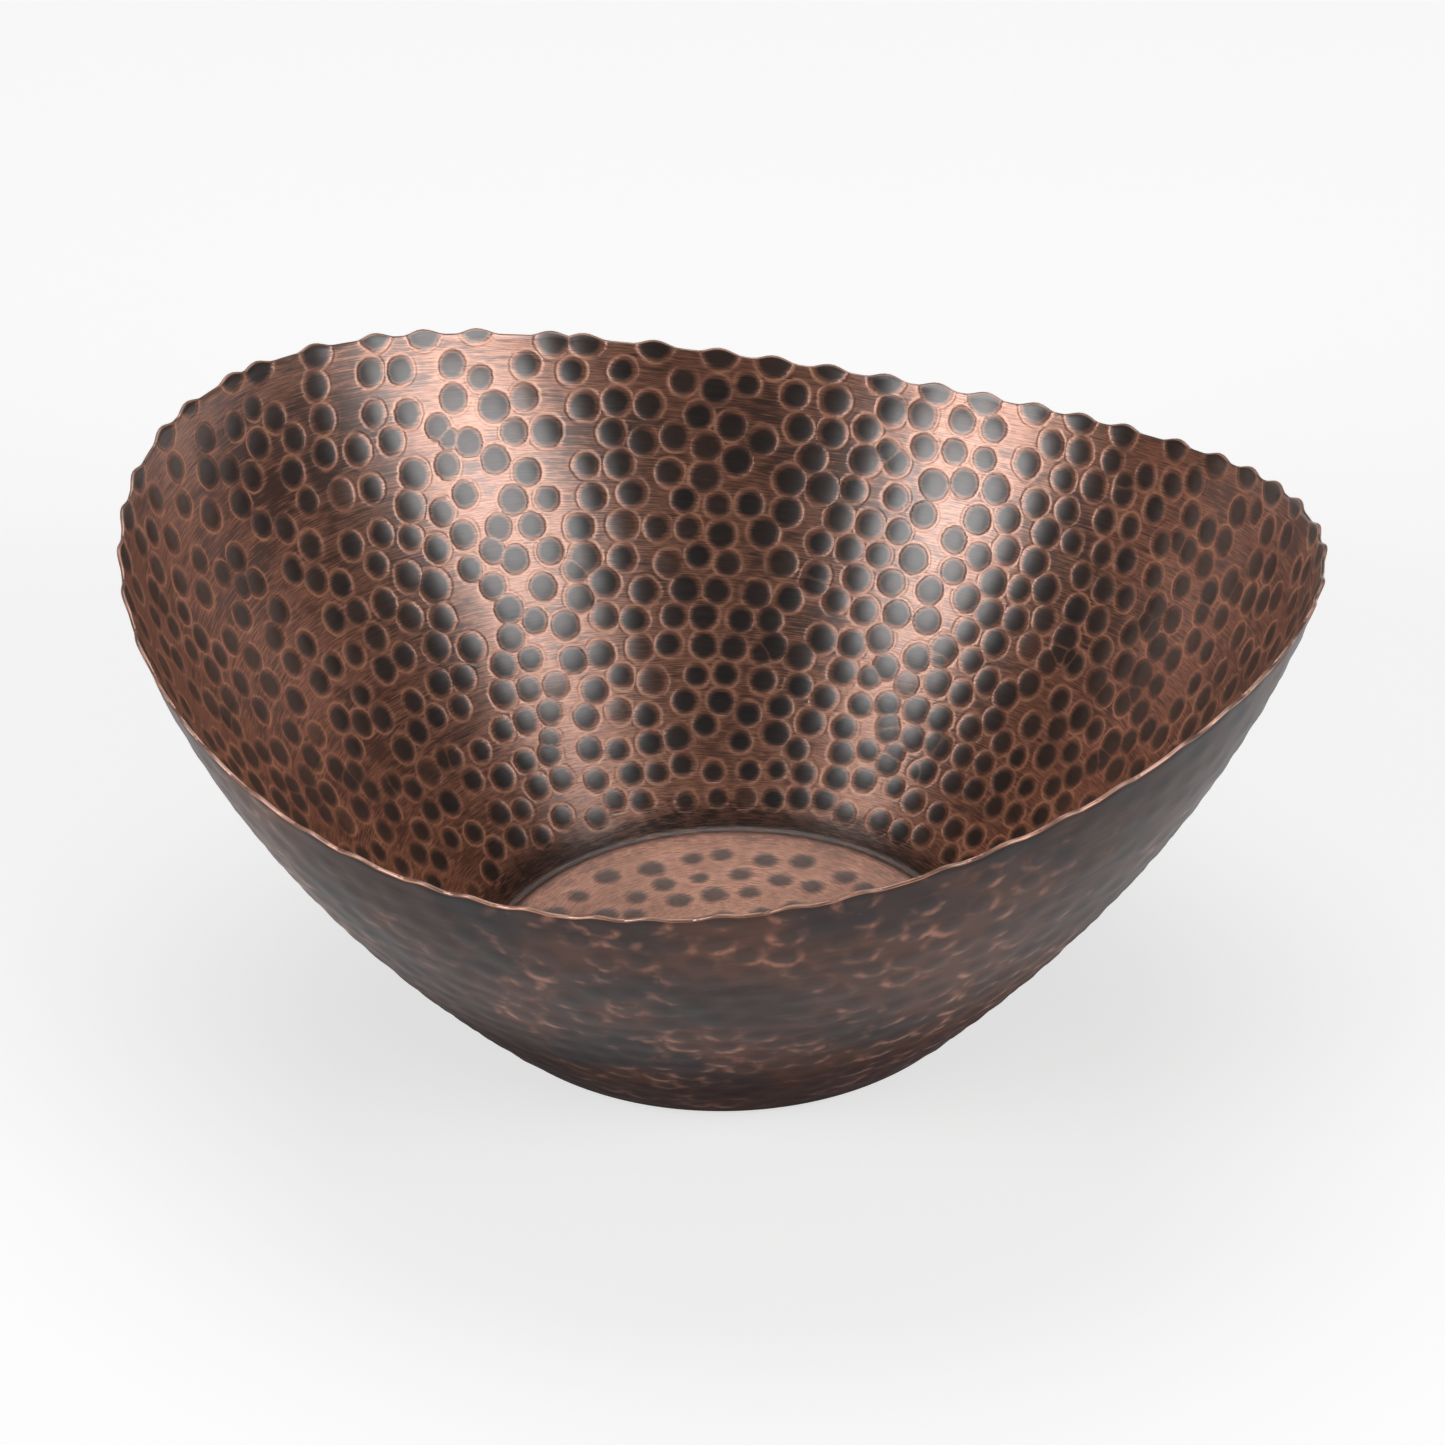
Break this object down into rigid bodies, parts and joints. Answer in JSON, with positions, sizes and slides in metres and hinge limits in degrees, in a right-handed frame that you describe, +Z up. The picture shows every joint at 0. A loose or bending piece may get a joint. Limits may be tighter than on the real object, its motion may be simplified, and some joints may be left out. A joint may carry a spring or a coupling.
{
  "type": "hammered copper bowl",
  "caption": "Oval hammered copper serving bowl with a saddle-waved rim, a flaring wall and a round flat floor, standing on rubber pads inside a pressed foot ring.",
  "frame": {"origin": "on the table under the middle of the bowl", "axes": "+X along the bowl's length towards one high end of the rim, +Y across it towards a low side, +Z up"},
  "size_m": [0.3046, 0.2756, 0.1352],
  "materials": {
    "aged_copper": "hammered, brushed, dark patina in the hammer marks",
    "pad_rubber": "matte"
  },
  "bodies": {
    "root": {"bowl_shell": "aged_copper", "base_pad_front": "pad_rubber", "base_pad_right": "pad_rubber", "base_pad_back": "pad_rubber", "base_pad_left": "pad_rubber"}
  },
  "joints": []
}
